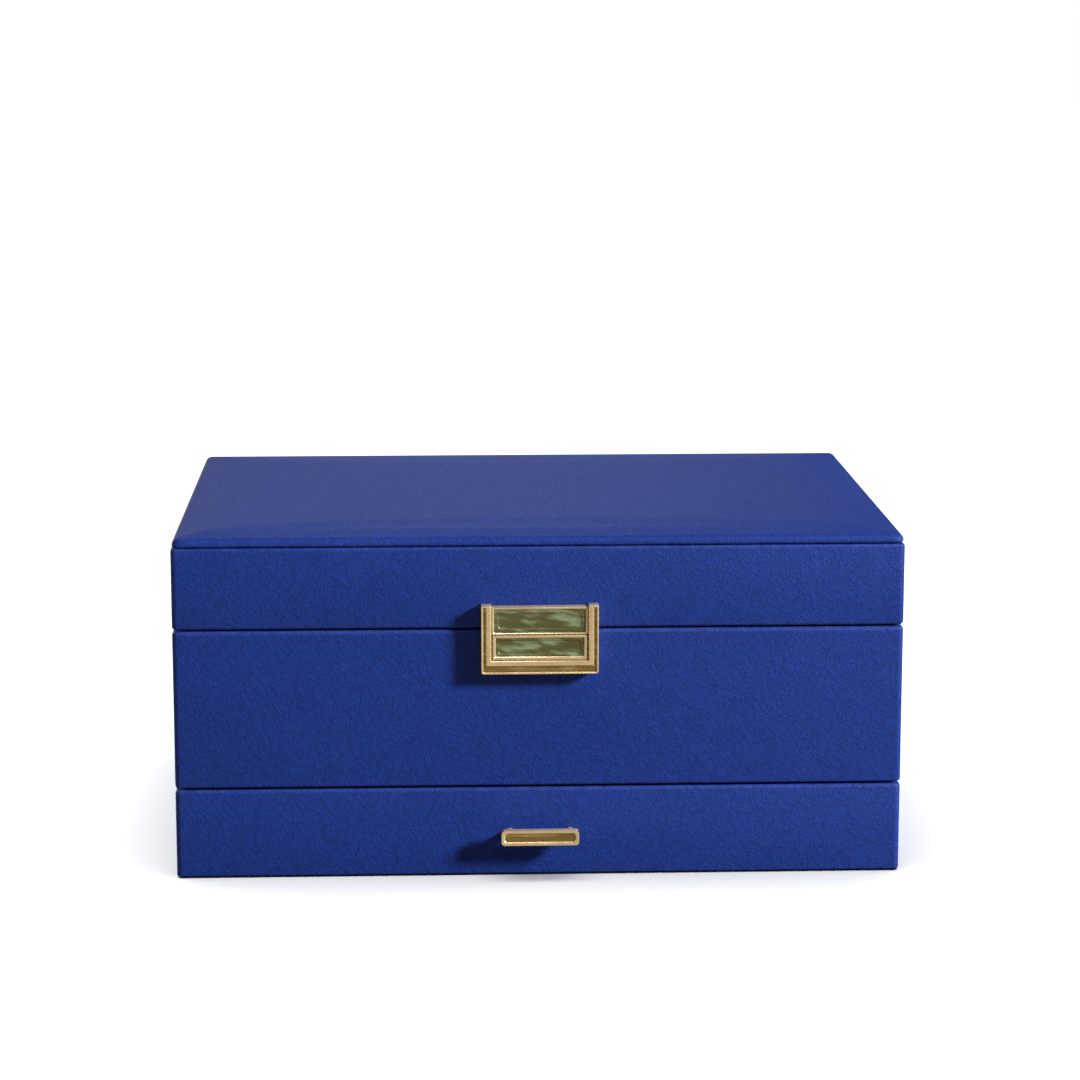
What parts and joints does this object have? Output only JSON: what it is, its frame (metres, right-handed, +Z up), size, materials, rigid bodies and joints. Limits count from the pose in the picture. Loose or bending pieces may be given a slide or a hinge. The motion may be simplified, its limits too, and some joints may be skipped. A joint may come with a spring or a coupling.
{
  "type": "leather jewellery case",
  "caption": "Leather-covered jewellery case with a hinged padded lid and mirror, a lined and divided compartment, a pull-out drawer and a push-button latch.",
  "frame": {"origin": "on the table, at the underside of the felt base pad, midway between the leather walls in X and in Y", "axes": "+X to the right seen from the front, +Y to the back, +Z up"},
  "size_m": [0.26, 0.2042, 0.1248],
  "materials": {
    "leather": "soft satin, fine pebbled grain",
    "velvet": "velvet lining",
    "board": "fibreboard, covered by leather and lining",
    "gold": "polished pale gold plate",
    "steel": "plain bright steel",
    "felt": "pressed felt",
    "foam": "soft padding foam under leather",
    "mirror": "silvered glass"
  },
  "bodies": {
    "case": {"left_wall": "board", "right_wall": "board", "back_wall": "board", "front_fascia": "board", "compartment_floor": "board", "base_board": "board", "base_pad": "felt", "case_cover": "leather", "compartment_lining": "velvet", "divider_main": "velvet", "divider_cross": "velvet", "divider_ring_end": "velvet", "divider_rear": "velvet", "front_dividers": "velvet", "ring_roll_1": "velvet", "ring_roll_2": "velvet", "ring_roll_3": "velvet", "ring_roll_4": "velvet", "ring_roll_5": "velvet", "ring_roll_6": "velvet", "bracelet_pillow": "velvet", "left_hinge_case_leaf": "gold", "right_hinge_case_leaf": "gold", "hinge_pins": "gold", "case_hinge_screws": "gold", "latch_housing": "gold", "latch_backplate": "gold", "latch_screws": "steel", "latch_springs": "steel", "drawer_stop": "board"},
    "lid": {"lid_front_rail": "board", "lid_back_rail": "board", "lid_left_rail": "board", "lid_right_rail": "board", "lid_ceiling_board": "board", "lid_frame_cover": "leather", "top_panel_board": "board", "top_panel_foam": "foam", "top_panel_cover": "leather", "lid_lining": "velvet", "mirror_pane": "mirror", "mirror_surround": "velvet", "latch_plate": "gold", "latch_plate_screws": "gold", "left_hinge_lid_leaf": "gold", "right_hinge_lid_leaf": "gold", "lid_hinge_screws": "gold"},
    "drawer": {"drawer_front_board": "board", "drawer_front_cover": "leather", "drawer_left_side": "board", "drawer_right_side": "board", "drawer_back_panel": "board", "drawer_floor": "board", "drawer_lining": "velvet", "drawer_divider_long": "velvet", "drawer_cross_dividers": "velvet", "drawer_handle": "gold", "handle_screws": "steel"},
    "latch_button": {"latch_button": "gold", "latch_yoke": "steel"}
  },
  "joints": [
    {"name": "lid_hinge", "type": "hinge", "parent": "case", "child": "lid", "pos_m": [0, 0.097, 0.0905], "axis": [-1, 0, 0], "range_deg": [0, 100]},
    {"name": "drawer_slide", "type": "slide", "parent": "case", "child": "drawer", "axis": [0, -1, 0], "range_m": [0, 0.14]},
    {"name": "button_press", "type": "slide", "parent": "case", "child": "latch_button", "axis": [0, 1, 0], "range_m": [0, 0.0012], "stiffness_N_per_m": 400, "springref_m": -0.002, "deforming": ["latch_springs"]}
  ]
}
